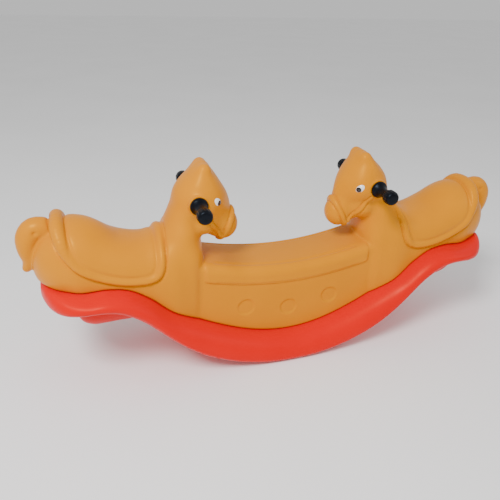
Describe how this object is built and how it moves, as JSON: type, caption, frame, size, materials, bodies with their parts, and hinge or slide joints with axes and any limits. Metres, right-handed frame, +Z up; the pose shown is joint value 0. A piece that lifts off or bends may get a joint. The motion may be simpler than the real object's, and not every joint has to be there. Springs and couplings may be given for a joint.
{
  "type": "rocking seesaw",
  "caption": "Moulded plastic rocking seesaw with horse-shaped seats facing each other, a curved rocker base with footrest wings, and hand grips through each head.",
  "frame": {"origin": "on the floor under the middle of the rocker base, with the toy level", "axes": "+X along the toy from the left horse to the right horse, +Y across it along the handles, +Z up"},
  "size_m": [1.419, 0.3236, 0.586],
  "materials": {
    "body": "satin yellow-orange moulded polyethylene",
    "base": "satin red moulded polyethylene",
    "grip": "black moulded plastic",
    "eye": "white gloss",
    "pupil": "black gloss",
    "steel": "bright zinc-plated steel"
  },
  "bodies": {
    "body": {"bolt_1": "steel", "bolt_2": "steel", "bolt_3": "steel", "bolt_4": "steel", "bolt_5": "steel", "bolt_6": "steel", "eye_left_nearside": "eye", "eye_left_offside": "eye", "eye_right_nearside": "eye", "eye_right_offside": "eye", "pupil_left_nearside": "pupil", "pupil_left_offside": "pupil", "pupil_right_nearside": "pupil", "pupil_right_offside": "pupil", "rocker_base": "base", "threaded_insert_1": "steel", "threaded_insert_2": "steel", "threaded_insert_3": "steel", "threaded_insert_4": "steel", "threaded_insert_5": "steel", "threaded_insert_6": "steel", "upper_body": "body", "washer_1": "steel", "washer_2": "steel", "washer_3": "steel", "washer_4": "steel", "washer_5": "steel", "washer_6": "steel"},
    "handle_left": {"grip_left_nearside": "grip", "grip_left_offside": "grip", "handle_tube_left": "steel"},
    "handle_right": {"grip_right_nearside": "grip", "grip_right_offside": "grip", "handle_tube_right": "steel"}
  },
  "joints": [
    {"name": "handle_left_spin", "type": "hinge", "parent": "body", "child": "handle_left", "pos_m": [-0.258, 0, 0.491], "axis": [0, 1, 0], "continuous": true},
    {"name": "handle_right_spin", "type": "hinge", "parent": "body", "child": "handle_right", "pos_m": [0.258, 0, 0.491], "axis": [0, 1, 0], "continuous": true}
  ]
}
